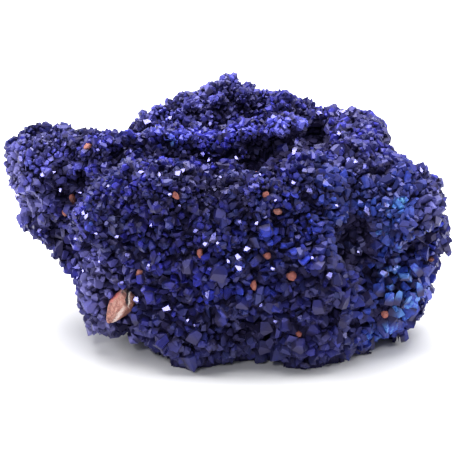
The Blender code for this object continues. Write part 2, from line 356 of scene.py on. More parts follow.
# Across, down, reach in mm, and how far the ground moves out there in mm.
RELIEF = [
    (349, 247, 2.3, -1.8), (346, 262, 1.8, -0.9), (200, 162, 3.0, -0.8), (165, 158, 3.0, -0.6),
    (6, 178, 3.0, 0.9), (49, 240, 2.4, 1.6), (58, 248, 2.4, 1.8), (67, 257, 2.4, 1.4),
    (74, 268, 2.4, 1.0), (38, 124, 3.0, -0.7), (122, 129, 2.5, -0.7), (82, 320, 2.5, 0.7),
    (189, 88, 3.5, 0.9), (248, 78, 2.5, 0.5), (268, 86, 3.0, 0.5), (318, 101, 3.0, 0.8),
    (150, 107, 3.0, -0.7), (436, 219, 1.1, -0.9), (427, 232, 1.1, -0.9), (314, 136, 2.2, -1.6),
    (270, 150, 2.2, -0.6), (186, 97, 1.6, 0.5), (420, 162, 3.0, -0.6), (426, 311, 3.0, 0.8),
    (391, 342, 3.0, -1.2), (142, 347, 3.5, -1.0),
]
first_tree = BVHTree.FromBMesh(ground)
pushes = [
    (*seen_at(across, down, first_tree), reach * MM, push * MM) for across, down, reach, push in RELIEF
]
for vertex in ground.verts:
    start = vertex.co.copy()
    for place, normal, reach, push in pushes:
        near = (start - place).length / reach
        if near < 2:
            vertex.co += normal * push * math.exp(-FADE * near**2)
    for axis in range(3):
        vertex.co[axis] = min(max(vertex.co[axis], cad_box[0][axis]), cad_box[1][axis])
ground.normal_update()
ground_tree = BVHTree.FromBMesh(ground)
print("places pushed in or out:", len(pushes))

# %% [markdown]
# The body that is seen between the crystals is the ground drawn in a little, which makes room for
# them. The crystals grew in clusters, so creases run between them. A Voronoi noise draws these.

# %% Body
DRAWN_IN = 0.8 * MM
CLUSTER = 4.6 * MM
CREASE = 1.3 * MM
CREASE_WIDTH = 0.45
BREAK_RELIEF = 0.25 * MM
OFF_THE_FLOOR = 0.05 * MM


def crease_at(place):
    """1 between two clusters of crystals and 0 on a cluster, for clusters of two sizes."""
    bent = place + noise.noise_vector(place / (2 * MM)) * 0.7 * MM
    depth = 0.0
    for width, share in ((CLUSTER, 0.6), (CLUSTER * 0.5, 0.4)):
        nearest = noise.voronoi(bent / width)[0]
        depth += share * (1 - min(1.0, (nearest[1] - nearest[0]) / CREASE_WIDTH)) ** 1.5
    return depth


body_shape = ground.copy()
for vertex in body_shape.verts:
    lumps = noise.noise(vertex.co / (2.3 * MM)) + 0.5 * noise.noise(vertex.co / (0.9 * MM))
    below = is_underside(vertex)
    vertex.co -= vertex.normal * (DRAWN_IN + CREASE * crease_at(vertex.co))
    vertex.co.z = BREAK_RELIEF * max(0.0, lumps) if below else max(vertex.co.z, OFF_THE_FLOOR)
body_shape.normal_update()
area = sum(face.calc_area() for face in body_shape.faces) / MM**2
print("body:", len(body_shape.faces), "faces, area in mm2:", round(area))

# %% [markdown]
# ## The crystals
#
# A crystal's faces are flat because atoms settle layer by layer, so a crystal is a block cut by a
# few planes. Each form here starts as a cube, and `bisect_plane` cuts it as a gem cutter would.
# Azurite grows wedges, blades and blunt points, and no two are alike, so every form is cut with
# slightly different planes several times over.


# %% Crystal forms
def cut(shape, direction, distance):
    """Cuts a flat face across a crystal, at a distance from its middle."""
    out = Vector(direction).normalized()
    geometry = shape.verts[:] + shape.edges[:] + shape.faces[:]
    found = bmesh.ops.bisect_plane(
        shape, geom=geometry, dist=1e-5, plane_co=out * distance, plane_no=out, clear_outer=True
    )
    rim = [item for item in found["geom_cut"] if isinstance(item, bmesh.types.BMEdge)]
    if len(rim) > 2:
        bmesh.ops.contextual_create(shape, geom=rim)


# Each form: the size of its block, and the planes that cut its upper end, as (direction, distance).
FORMS = {
    "wedge": ((0.95, 0.66, 1.30), [
        ((0, 1, 0.62), 0.30), ((0, -1, 0.55), 0.28), ((1, 0.2, 0.5), 0.46), ((-1, 0.1, 0.9), 0.56),
    ]),
    "point": ((0.90, 0.80, 1.40), [
        ((1, 0.3, 0.6), 0.34), ((-0.7, 1, 0.6), 0.34), ((-0.8, -1, 0.5), 0.32), ((0.5, -1, 0.9), 0.46),
    ]),
    "blade": ((1.15, 0.40, 1.40), [
        ((0.9, 0, 0.9), 0.52), ((-1, 0.3, 0.5), 0.50), ((0.1, 1, 0.25), 0.15), ((0, -1, 0.35), 0.20),
    ]),
    "corner": ((1.00, 1.00, 1.20), [
        ((1, 0.1, 0.75), 0.28), ((-0.5, 0.87, 0.75), 0.29), ((-0.5, -0.87, 0.7), 0.28),
    ]),
    "scale": ((1.30, 1.05, 0.66), [
        ((1, 0.5, 0.5), 0.54), ((-1, 0.6, 0.6), 0.50), ((0.2, 1, 0.8), 0.40), ((-0.1, -1, 0.5), 0.42),
    ]),
    "block": ((0.95, 0.85, 1.15), [
        ((1, 1, 0.7), 0.48), ((-1, 0.8, 0.8), 0.50), ((0.5, -1, 0.9), 0.44), ((-0.6, -1, 0.3), 0.50),
    ]),
}
CUTS_OF_EACH = 5
PLANE_TILT = 0.22


def cut_crystal(size, planes, draw):
    """One crystal about 1 unit tall, as arrays of points and triangles."""
    shape = bmesh.new()
    bmesh.ops.create_cube(shape, size=1, matrix=Matrix.Diagonal((*size, 1)))
    for direction, distance in planes:
        tilt = Vector([draw.uniform(-PLANE_TILT, PLANE_TILT) for _ in range(3)])
        cut(shape, Vector(direction) + tilt, distance * draw.uniform(0.85, 1.15))
    bmesh.ops.triangulate(shape, faces=shape.faces)
    bmesh.ops.recalc_face_normals(shape, faces=shape.faces)
    shape.verts.index_update()
    points = np.array([vertex.co for vertex in shape.verts])
    corners = np.array([[vertex.index for vertex in face.verts] for face in shape.faces])
    shape.free()
    return points, corners


FORM_SEED = 4
draw = random.Random(FORM_SEED)
forms = {name: [cut_crystal(*FORMS[name], draw) for _ in range(CUTS_OF_EACH)] for name in FORMS}
print("faces of each form:", {name: [len(corners) for _, corners in made] for name, made in forms.items()})

# %% [markdown]
# ## Where the crystals stand
#
# Crystals that seed at random and fight for room end up at about the same distance from each
# other, never on a grid. The usual way to get that is to throw far too many points on the surface
# and to keep a point only where no kept one is too near. A surface grid of small cubes makes the
# search for neighbours quick.

# %% Points on the body
THROWN_PER_MM2 = 11.0
SPACING = 0.7 * MM
BARE_BAND = 0.8 * MM
ROCK_CLEARANCE = 0.2 * MM
FAR_FROM_ROCK = 2.5 * MM


def size_at(place):
    """How big the crystals grow here, as a share of the usual size: more so low down and at the right."""
    wave = noise.noise(place / (7 * MM) + Vector((3, 0, 0)))
    low = 1 - min(1.0, place.z / (30 * MM))
    right = max(0.0, place.x) / (35 * MM)
    return 0.76 + 0.18 * wave + 0.60 * low + 0.22 * right


def points_on(shape, draw):
    """Random points on a shape's faces, as (place, normal), with more where a face is larger."""
    found = []
    owed = 0.0
    for face in shape.faces:
        owed += face.calc_area() / MM**2 * THROWN_PER_MM2
        corners = [vertex.co for vertex in face.verts]
        normals = [vertex.normal for vertex in face.verts]
        while owed >= 1:
            owed -= 1
            shares = [draw.expovariate(1) for _ in corners]
            total = sum(shares)
            place = sum((c * s for c, s in zip(corners, shares)), Vector()) / total
            normal = sum((n * s for n, s in zip(normals, shares)), Vector()).normalized()
            found.append((place, normal))
    draw.shuffle(found)
    return found


def thinned(points, spacing):
    """Keeps the points that have no kept one nearer than spacing times the local crystal size."""
    cell = spacing * 1.3
    grid = {}
    kept = []
    for place, normal in points:
        size = size_at(place)
        apart = spacing * size
        key = tuple(int(c // cell) for c in place)
        near = (
            other
            for dx in (-1, 0, 1)
            for dy in (-1, 0, 1)
            for dz in (-1, 0, 1)
            for other in grid.get((key[0] + dx, key[1] + dy, key[2] + dz), ())
        )
        if all((other - place).length_squared > apart * apart for other in near):
            grid.setdefault(key, []).append(place)
            kept.append((place, normal, size))
    return kept


rock_surface = bmesh.new()
for name in ROCKS:
    rock_surface.from_mesh(frame["nodes"][name].data)
rock_tree = BVHTree.FromBMesh(rock_surface)
rock_surface.free()


def is_free(place, normal, size):
    """True where a crystal can stand: not on the flat underside, and not in or against a bit of rock."""
    if place.z < BARE_BAND and normal.z < -0.9:
        return False
    near, outward, _, apart = rock_tree.find_nearest(place)
    if apart > FAR_FROM_ROCK:
        return True
    return apart > ROCK_CLEARANCE + 0.3 * MM * size and (place - near).dot(outward) > 0


PLACE_SEED = 11
draw = random.Random(PLACE_SEED)
seeds = [seed for seed in thinned(points_on(ground, draw), SPACING) if is_free(*seed)]
print("crystals:", len(seeds))

# %% [markdown]
# ## Growing them
#
# Each crystal needs a place, a turn, a size and one of the forms. A crystal starts along the
# surface's normal and then leans, partly with its neighbours and partly on its own, because
# neighbours push each other aside. Setting up thousands of objects would be slow, so the forms'
# points are turned and moved as arrays, and all crystals of one region become one mesh. Some numbers
# ride along on each crystal's points, and the material reads them later: `tint` for its colour,
# `polish` for how clean its faces are, `shelter` for how deep in a hollow it stands, and `rise`,
# which goes from 0 at the crystal's foot to 1 at its tip.


# %% Crystal placing
class Crystal(NamedTuple):
    """What is settled about one crystal before its mesh is made."""

    form: str
    which: int  # the cut of that form
    turned: Matrix  # its turn and size
    place: Vector
    tint: float
    polish: float
    shelter: float = 0.0


CRYSTAL_SIZE = 1.06 * MM
SIZE_SPREAD = 0.22
SUNK = 0.14
LEAN_TOGETHER = 0.6
LEAN_ALONE = 0.7
TOO_LOW = 0.35  # a crystal that leans further than this lies on its neighbours, and is raised
MIX = {"wedge": 6, "point": 5, "blade": 3, "corner": 4, "scale": 3, "block": 5}
SCALY_MIX = {"wedge": 2, "point": 1, "blade": 1, "corner": 2, "scale": 9, "block": 3}
DOME = Vector((20.0, -3.0, 27.0)) * MM
DOME_REACH = 10 * MM


def frame_of(up, turn):
    """A turning matrix that stands a crystal along a direction, and spins it about that direction."""
    return up.to_track_quat("Z", "Y").to_matrix() @ Matrix.Rotation(turn, 3, "Z")


def grown(seed, draw):
    """One crystal on a seed, which is a place, a normal and a size."""
    place, normal, size = seed
    shared = noise.noise_vector(place / (3.2 * MM))
    alone = Vector([draw.gauss(0, 0.5) for _ in range(3)])
    up = (normal + shared * LEAN_TOGETHER + alone * LEAN_ALONE).normalized()
    if up.dot(normal) < TOO_LOW:
        up = (up + normal * 0.8).normalized()
    mix = SCALY_MIX if (place - DOME).length < DOME_REACH else MIX
    form = draw.choices(list(mix), list(mix.values()))[0]
    scale = CRYSTAL_SIZE * size * draw.lognormvariate(0, SIZE_SPREAD)
    girth = Matrix.Diagonal((draw.uniform(0.8, 1.15), draw.uniform(0.8, 1.15), draw.uniform(0.85, 1.3)))
    turned = frame_of(up, draw.uniform(0, math.tau)) @ girth * scale
    middle = place - normal * (SUNK * scale + CREASE * crease_at(place))
    patch = 0.5 + 0.9 * noise.noise(place / (3.5 * MM) + Vector((0, 9, 0)))
    tint = 0.6 * draw.random() + 0.4 * min(1.0, max(0.0, patch))
    return Crystal(form, draw.randrange(CUTS_OF_EACH), turned, middle, tint, draw.random())


crystals = [grown(seed, draw) for seed in seeds]
print("placed:", len(crystals))

# %% [markdown]
# The colour isn't even, and most of that is painted light and shade. The lip and the edges are
# painted paler, with a painted sheen, and so are some ledges; crevices, grooves and the pocket under
# the chip are painted darker; and some small spots of clearer blue and of azure are painted glints.
# On the dome at the right the blue also turns greenish, as azurite does where it begins to become
# malachite.
# These places are listed, and each one's effect fades out from it.

# %% Tones
TONE_ENDS = 1.6
# Across, down, reach in mm, then lighter or darker (mostly painted light and shade), pale painted sheen,
# azure.
TONES = [
    (140, 131, 2.0, 0.65, 0.35, 0.0), (165, 131, 2.0, 0.65, 0.30, 0.0), (190, 131, 2.0, 0.65, 0.30, 0.0),
    (215, 130, 2.0, 0.65, 0.30, 0.0), (240, 127, 2.2, 0.65, 0.30, 0.0), (262, 122, 2.4, 0.45, 0.15, 0.0),
    (285, 119, 3.2, 0.45, 0.20, 0.0), (306, 118, 3.0, 0.35, 0.15, 0.0), (258, 165, 5.0, 0.15, 0.0, 0.0),
    (62, 170, 6.0, 0.25, 0.20, 0.0), (12, 165, 3.5, 0.20, 0.80, 0.0), (15, 205, 4.5, 0.20, 0.90, 0.0),
    (40, 148, 8.0, 0.15, 0.15, 0.0), (75, 132, 6.0, 0.10, 0.25, 0.0), (35, 225, 5.0, 0.10, 0.20, 0.0),
    (92, 285, 5.0, 0.60, 1.20, 0.0), (98, 335, 4.0, 0.70, 1.10, 0.0), (118, 334, 5.0, 0.55, 0.95, 0.0),
    (119, 328, 1.4, -0.80, 0.0, 0.0), (165, 110, 7.0, 0.35, 0.45, 0.0), (195, 98, 8.0, 0.20, 0.20, 0.0),
    (232, 86, 6.0, 0.20, 0.25, 0.0), (300, 103, 7.0, 0.15, 0.15, 0.0), (345, 115, 7.0, 0.20, 0.15, 0.0),
    (340, 298, 5.0, -0.38, 0.0, 0.0), (195, 186, 6.0, -0.30, 0.0, 0.0), (230, 205, 7.0, -0.15, 0.0, 0.0),
    (190, 150, 5.0, 0.25, 0.0, 0.0), (240, 150, 4.0, 0.10, 0.0, 0.0), (270, 255, 9.0, 0.05, 0.0, 0.3),
    (230, 345, 11.0, 0.05, 0.05, 0.2), (325, 180, 6.0, 0.0, 0.0, 0.2), (400, 295, 10.0, 0.45, 0.05, 0.6),
    (395, 200, 8.0, 0.0, 0.05, 0.6), (365, 345, 6.0, 0.05, 0.0, 0.3), (415, 245, 2.4, -0.30, 0.0, 0.0),
    (349, 248, 3.2, -1.30, 0.0, 0.0), (170, 147, 1.3, 0.30, 0.10, 0.9), (139, 312, 0.8, 0.30, 0.10, 1.0),
    (396, 205, 1.6, 0.35, 0.10, 1.0), (350, 212, 7.0, 0.0, 0.0, 0.3), (432, 205, 3.5, 0.0, 0.30, 0.0),
    (355, 163, 3.0, 0.20, 0.30, 0.0), (62, 185, 3.0, -0.35, 0.0, 0.0), (105, 243, 3.5, -0.30, 0.0, 0.0),
    (116, 222, 2.5, -0.30, 0.0, 0.0), (68, 200, 2.0, -0.30, 0.0, 0.0), (238, 326, 4.5, -0.40, 0.0, 0.0),
    (262, 340, 2.5, -0.30, 0.0, 0.0), (215, 335, 1.8, -0.20, 0.0, 0.0), (442, 188, 1.2, -0.60, 0.0, 0.0),
    (443, 201, 1.2, -0.60, 0.0, 0.0), (439, 214, 1.2, -0.60, 0.0, 0.0), (431, 227, 1.2, -0.60, 0.0, 0.0),
    (422, 240, 1.3, -0.50, 0.0, 0.0), (314, 137, 2.2, -0.10, 0.0, 0.0),
    (282, 138, 1.8, 0.30, 0.35, 0.0), (434, 196, 1.3, 0.0, 0.25, 0.0), (432, 210, 1.3, 0.0, 0.25, 0.0),
    (75, 130, 5.0, -0.55, -0.3, 0.0), (78, 228, 2.5, 0.30, 0.35, 0.0), (80, 265, 2.5, 0.30, 0.35, 0.0),
    (420, 242, 3.0, 0.55, 0.0, 0.0), (290, 122, 5.0, 0.20, 0.0, 0.0), (28, 167, 0.7, 0.40, 0.0, 0.5),
    (84, 207, 0.7, 0.40, 0.0, 0.3), (115, 206, 0.6, 0.45, 0.0, 0.2), (136, 243, 0.9, 0.55, 0.0, 0.1),
    (127, 245, 0.6, 0.35, 0.0, 0.2), (133, 140, 0.9, 0.45, 0.0, 0.1), (89, 225, 0.6, 0.3, 0.0, 0.9),
    (200, 190, 0.7, 0.45, 0.0, 0.1), (176, 213, 0.7, 0.45, 0.0, 0.1), (215, 215, 0.7, 0.45, 0.0, 0.1),
    (197, 292, 0.9, 0.50, 0.0, 0.1), (226, 314, 1.5, 0.45, 0.10, 0.1), (270, 310, 1.0, 0.45, 0.0, 0.2),
    (165, 240, 0.7, 0.45, 0.0, 0.1), (213, 198, 0.7, 0.45, 0.0, 0.1), (252, 190, 0.7, 0.45, 0.0, 0.1),
]
tone_spots = [(seen_at(across, down)[0], *rest) for across, down, *rest in TONES]


def tone_at(place):
    """How much lighter or darker (mostly painted light and shade), painted sheen and azure here."""
    change = np.zeros(3)
    for spot, reach, *amounts in tone_spots:
        near = (place - spot).length / (reach * MM)
        if near < TONE_ENDS:
            change += math.exp(-FADE * near**2) * np.array(amounts)
    return change


print("tone spots:", len(tone_spots))

# %% [markdown]
# Crystals deep in a hollow get little light, so they are given painted shade: a darker colour and a
# weaker shine. How sheltered a place is can be measured: rays go out from it in all directions, and
# the share that soon hits the body again is its shelter. The creases between clusters add to it.

# %% Shelter
SHELTER_RAYS = 20
SHELTER_REACH = 9 * MM
GOLDEN_ANGLE = 2.39996

compass = []
for step in range(SHELTER_RAYS):
    up = (step + 0.5) / SHELTER_RAYS
    around = step * GOLDEN_ANGLE
    side = math.sqrt(1 - up * up)
    compass.append(Vector((side * math.cos(around), side * math.sin(around), up)))


def shelter_at(place, normal):
    """0 for a place out in the open, 1 for one that is shut in."""
    turn = normal.to_track_quat("Z", "Y").to_matrix()
    start = place + normal * 0.5 * MM
    shut = 0.0
    for ray in compass:
        _, _, _, apart = ground_tree.ray_cast(start, turn @ ray, SHELTER_REACH)
        if apart is not None:
            shut += ray.z * (1 - 0.5 * apart / SHELTER_REACH)
    return min(1.0, 2 * shut / SHELTER_RAYS + 0.45 * crease_at(place))


shelters = [shelter_at(place, normal) for place, normal, _ in seeds]
crystals = [crystal._replace(shelter=shelter) for crystal, shelter in zip(crystals, shelters)]
print("shelter, tenth to all:", [round(float(np.quantile(shelters, q)), 2) for q in (0.1, 0.5, 0.9, 1)])

# %% [markdown]
# The large chip of rock lies slanting in the crystals, with its broad side to the front. Its own
# three directions are kept as the columns of a matrix: along it, across it and out of the front.
# The solid's extent along these gives its size, and crystals that would stand in front of it go.

# %% The chip of rock and the crystals around it
CHIP_LEAN = math.radians(36)
CHIP_LARGER = 1.25
CHIP_GAP = 0.1 * MM
CHIP_WAYS = LOOK @ Matrix(
    (
        (math.sin(CHIP_LEAN), math.cos(CHIP_LEAN), 0),
        (math.cos(CHIP_LEAN), -math.sin(CHIP_LEAN), 0),
        (0, 0, 1),
    )
).transposed()
solid_chip = copy_of("rock_chip")
spots = np.array([CHIP_WAYS.transposed() @ vertex.co for vertex in solid_chip.verts])
solid_chip.free()
chip_middle = (spots.max(axis=0) + spots.min(axis=0)) / 2
chip_half = (spots.max(axis=0) - spots.min(axis=0)) / 2 * CHIP_LARGER


def covers_chip(place):
    """Whether a crystal here would stand between the camera and the chip."""
    offset = CHIP_WAYS.transposed() @ place - Vector(chip_middle)
    beside = (offset.x / (chip_half[0] + CHIP_GAP)) ** 2 + (offset.y / (chip_half[1] + CHIP_GAP)) ** 2
    return beside < 1 and offset.z > -chip_half[2]


before = len(crystals)
crystals = [crystal for crystal in crystals if not covers_chip(crystal.place)]
print("crystals taken off the chip:", before - len(crystals))

# %% [markdown]
# Some crystals are worth placing one by one: a few big ones, and the small ones that happen to turn a
# face to the light. A face flashes when it stands square to the direction halfway between the
# camera and the lamp, so these crystals are turned until their largest face does.

# %% Crystals placed one by one
# Across and down in the view, width and height in its units, form, lean to the right in degrees, tint.
BIG = [
    (220, 272, 14, 16, "wedge", 20, 0.30), (222, 318, 13, 10, "block", 60, 0.75),
    (345, 297, 10, 19, "point", -3, 0.60), (415, 268, 6, 18, "blade", -45, 0.60),
    (419, 287, 6, 18, "blade", -20, 0.65), (408, 300, 5, 17, "blade", 12, 0.70),
    (399, 296, 6, 18, "blade", 15, 0.70), (404, 276, 8, 10, "scale", 0, 0.80),
    (378, 288, 12, 14, "block", 0, 0.40), (389, 298, 9, 13, "block", 5, 0.55),
    (414, 313, 5, 15, "blade", 8, 0.60), (425, 303, 5, 14, "blade", -10, 0.60),
    (224, 163, 10, 9, "block", 10, 0.40), (232, 163, 9, 8, "wedge", -20, 0.35),
    (300, 345, 13, 12, "point", 30, 0.50), (262, 345, 12, 12, "point", -20, 0.45),
    (195, 335, 12, 14, "wedge", 30, 0.40), (243, 300, 12, 12, "corner", 10, 0.50),
    (282, 150, 12, 14, "point", 15, 0.45), (156, 208, 8, 11, "scale", 10, 0.55),
    (318, 305, 11, 15, "wedge", -10, 0.45), (188, 265, 11, 13, "point", 5, 0.30),
    (136, 318, 9, 13, "wedge", -10, 0.60), (365, 345, 12, 12, "point", 40, 0.45),
    (265, 325, 12, 13, "corner", -30, 0.35),
]
# Across, down and width of the faces that flash, and whether they flash white or only shine.
GLINTS = [
    (43, 175, 6, 1), (60, 190, 4, 1), (141, 173, 5, 1), (177, 175, 8, 1), (183, 172, 5, 1),
    (203, 154, 5, 0), (294, 154, 6, 1), (293, 184, 5, 1), (169, 194, 4, 1), (84, 213, 4, 1),
    (88, 216, 4, 1), (205, 243, 5, 1), (217, 243, 4, 1), (213, 236, 7, 0), (246, 249, 7, 1),
    (238, 257, 6, 1), (239, 268, 7, 1), (229, 262, 4, 1), (166, 308, 7, 1), (92, 307, 5, 1),
    (137, 298, 6, 1), (331, 275, 7, 0), (382, 272, 8, 0), (339, 135, 6, 1), (320, 113, 5, 1),
    (344, 113, 6, 1), (148, 122, 7, 1), (170, 118, 5, 1), (349, 161, 7, 0), (355, 163, 5, 1),
    (364, 167, 6, 0), (357, 251, 3, 1), (59, 128, 5, 0), (17, 194, 6, 1), (39, 230, 6, 0),
    (388, 206, 5, 0), (367, 210, 7, 0), (196, 231, 5, 0), (257, 222, 4, 1), (310, 190, 5, 0),
    (272, 268, 4, 1), (148, 268, 5, 0), (313, 258, 4, 1), (118, 236, 4, 1), (54, 172, 3, 1),
    (109, 187, 3, 1), (131, 152, 4, 0), (82, 193, 3, 1), (77, 239, 3, 1), (97, 233, 3, 1),
    (100, 261, 3, 1), (89, 258, 3, 0), (127, 255, 5, 0), (149, 265, 3, 1), (84, 271, 3, 1),
    (123, 282, 4, 0), (22, 158, 6, 0), (98, 150, 4, 0), (66, 145, 4, 0), (160, 176, 3, 1),
    (180, 205, 3, 0), (221, 178, 3, 1), (260, 176, 3, 1), (240, 222, 4, 0), (275, 200, 3, 1),
    (152, 225, 3, 1), (262, 305, 4, 0), (195, 325, 3, 0), (335, 205, 3, 1), (276, 321, 4, 0),
    (188, 320, 3, 1), (210, 123, 5, 0), (200, 106, 6, 0), (319, 114, 5, 0), (237, 158, 4, 1),
    (208, 161, 3, 1), (437, 192, 3, 0), (421, 172, 4, 1),
]
UNIT = WIDTH_IN_VIEW / VIEW
FORM_HEIGHT = 1.2
GLINT_SIZE = 0.72
OFF_SQUARE = 0.035  # in radians, for faces that only shine
FLASHES, SHINES = 1.0, 0.925  # their polish
ROOM_AROUND = 0.4  # the share of a hand-placed crystal's width that is kept free of others
LEANS_OUT = 0.55  # how far a big crystal leans out of the surface
BIG_POLISH, GLINT_TINT = 0.3, 0.75
BIG_STANDS_OUT, GLINT_STANDS_OUT = 0.1, 0.25  # in mm


def placed(across, down, width, height, form, lean, tint, draw):
    """One big crystal, its long side leaning in the camera's view."""
    place, normal = seen_at(across, down)
    upright = LOOK @ Vector((math.sin(math.radians(lean)), math.cos(math.radians(lean)), 0))
    up = (upright + normal * LEANS_OUT).normalized()
    turn = up.to_track_quat("Z", "Y").to_matrix()
    facing = (normal - up * normal.dot(up)).normalized()
    spin = math.atan2(facing.dot(turn.col[1]), facing.dot(turn.col[0])) - math.pi / 2
    size = Matrix.Diagonal((width, width, height / FORM_HEIGHT))
    turned = turn @ Matrix.Rotation(spin, 3, "Z") @ size * UNIT
    which = draw.randrange(CUTS_OF_EACH)
    return Crystal(form, which, turned, place + normal * BIG_STANDS_OUT * MM, tint, BIG_POLISH)


def glint(across, down, width, white, draw):
    """One small clean crystal that turns its largest face halfway between camera and flash."""
    place, normal = seen_at(across, down)
    which = draw.randrange(CUTS_OF_EACH)
    points, corners = forms["corner"][which]
    first, second, third = points[corners].transpose(1, 0, 2)
    sides = np.cross(second - first, third - first)
    slopes = [side for side in sides if side[2] > 0.3 * np.linalg.norm(side)]
    face = Vector(max(slopes, key=np.linalg.norm)).normalized()
    halfway = ((camera.location - place).normalized() + (FLASH_PLACE - place).normalized()).normalized()
    if not white:
        askew = Vector([draw.uniform(-OFF_SQUARE, OFF_SQUARE) for _ in range(3)])
        halfway = (halfway + askew).normalized()
    turned = face.rotation_difference(halfway).to_matrix() * width * GLINT_SIZE * UNIT
    turned = Matrix.Rotation(draw.uniform(0, math.tau), 3, halfway) @ turned
    along = Matrix.Rotation(draw.uniform(0, math.tau), 3, halfway) @ halfway.orthogonal()
    turned = Matrix.Scale(draw.uniform(1.1, 1.7), 3, along) @ turned
    polish = FLASHES if white else SHINES
    place = place + normal * GLINT_STANDS_OUT * MM
    return Crystal("corner", which, turned, place, GLINT_TINT, polish)


def has_room(crystal):
    """Whether a crystal stands clear of all that are placed by hand."""
    return all(
        (crystal.place - big.place).length > ROOM_AROUND * big.turned.col[0].length for big in special
    )


HAND_SEED = 23
draw = random.Random(HAND_SEED)
special = [placed(*row, draw) for row in BIG] + [glint(*row, draw) for row in GLINTS]
crystals = [crystal for crystal in crystals if has_room(crystal)] + special
print("by hand:", len(special))


# %% [markdown]
# All crystals of one form and cut share the same points and faces, so they are made at once: one
# product of arrays turns and moves the points of them all. A crystal that would reach out of the
# solids' box is shifted back in.


# %% Crystals into meshes
def joined_crystals(name, crystals):
    """One object from many crystals. Each is kept inside the solids' box."""
    low = np.array(cad_box[0]) + 0.02 * MM
    high = np.array(cad_box[1]) - 0.02 * MM
    all_points, all_corners = [], []
    numbers = {title: [] for title in ("tint", "polish", "rise", "shelter", "haze", "azure")}
    used = 0
    for form in FORMS:
        for which, (points, corners) in enumerate(forms[form]):
            mine = [crystal for crystal in crystals if (crystal.form, crystal.which) == (form, which)]
            if not mine:
                continue
            turns = np.array([crystal.turned for crystal in mine])
            places = np.array([crystal.place for crystal in mine])
            made = np.einsum("nij,pj->npi", turns, points) + places[:, None, :]
            made += np.maximum(0, low - made.min(axis=1))[:, None, :]
            made -= np.maximum(0, made.max(axis=1) - high)[:, None, :]
            offsets = used + np.arange(len(mine)) * len(points)
            all_points.append(made.reshape(-1, 3))
            all_corners.append((corners[None] + offsets[:, None, None]).reshape(-1, 3))
            used += len(mine) * len(points)
            tones = np.array([tone_at(crystal.place) for crystal in mine])
            # The tint takes in the spots' lighter and darker tones, which are mostly painted light and
            # shade.
            of_each = {
                "tint": [crystal.tint for crystal in mine] + tones[:, 0],
                "haze": tones[:, 1],
                "azure": tones[:, 2],
                "polish": [crystal.polish for crystal in mine],
                "shelter": [crystal.shelter for crystal in mine],
            }
            for title, values in of_each.items():
                numbers[title].append(np.repeat(values, len(points)))
            heights = points[:, 2] - points[:, 2].min()
            numbers["rise"].append(np.tile(heights / heights.max(), len(mine)))
    points = np.concatenate(all_points)
    corners = np.concatenate(all_corners)
    mesh = bpy.data.meshes.new(name)
    mesh.vertices.add(len(points))
    mesh.vertices.foreach_set("co", points.ravel())
    mesh.loops.add(corners.size)
    mesh.loops.foreach_set("vertex_index", corners.ravel())
    mesh.polygons.add(len(corners))
    mesh.polygons.foreach_set("loop_start", np.arange(0, corners.size, 3))
    for title, values in numbers.items():
        attribute = mesh.attributes.new(title, "FLOAT", "POINT")
        attribute.data.foreach_set("value", np.concatenate(values))
    mesh.update(calc_edges=True)
    mesh.shade_flat()
    made = bpy.data.objects.new(name, mesh)
    bpy.context.scene.collection.objects.link(made)
    return made


LEFT_ENDS, RIGHT_STARTS, BACK_STARTS = -13 * MM, 12 * MM, -4 * MM


def region_of(place):
    """The part of the specimen that a crystal belongs to."""
    if place.x < LEFT_ENDS:
        return "left"
    if place.x > RIGHT_STARTS:
        return "right"
    return "front" if place.y < BACK_STARTS else "back"


regions = {}
for crystal in crystals:
    regions.setdefault(region_of(crystal.place), []).append(crystal)
pieces = {name: joined_crystals("crystals_" + name, regions[name]) for name in sorted(regions)}
print("triangles:", {name: len(piece.data.polygons) for name, piece in pieces.items()})

# %% [markdown]
# ## Azurite
#
# Azurite lets a little blue light through at thin edges, and its faces shine like glass. In a
# lump most faces look nearly black, and the blue shows where a crystal is thin or clean. So the
# colour runs from near black through ultramarine to a clear blue for the few cleanest crystals, and
# a second ramp does the same for greenish blue. The crystals' own numbers pick the place on the ramps.

# %% Azurite colours
BLUES = [
    (0.00, (0.012, 0.009, 0.035)),
    (0.35, (0.010, 0.009, 0.095)),
    (0.70, (0.021, 0.019, 0.235)),
    (0.90, (0.030, 0.030, 0.480)),
    (0.97, (0.045, 0.050, 0.620)),
    (1.00, (0.110, 0.120, 0.700)),
]
GREENISH_BLUES = [
    (0.00, (0.004, 0.012, 0.070)),
    (0.60, (0.010, 0.040, 0.240)),
    (0.95, (0.020, 0.160, 0.500)),
    (1.00, (0.080, 0.450, 0.600)),
]
IN_SHADOW = [(0.3, (0.016, 0.013, 0.028)), (0.7, (0.020, 0.017, 0.070))]
PAINTED_REFLECTION = (0.030, 0.045, 0.130, 1)  # painted reflection: clean faces of dark crystals, which mirror the room
PAINTED_SHEEN_COLOUR = (0.17, 0.16, 0.42, 1)  # painted sheen, where many fine edges would scatter the light
GREYER_LOW_DOWN = (0.036, 0.036, 0.080, 1)  # a greyer tone towards the bottom, near the break
GREYER_UP_TO = 14 * MM
FOOT = (0.024, 0.020, 0.050, 1)  # painted shade at the feet of the crystals, where no light gets in
PAINTED_HOLLOW_SHADE = (0.020, 0.016, 0.048, 1)  # painted shade for crystals deep in a hollow
VIOLET_SHEEN = (0.44, 0.42, 1.0, 1)
SHADOW_SHEEN = (0.40, 0.38, 1.0, 1)
AZURITE_IOR = 1.75

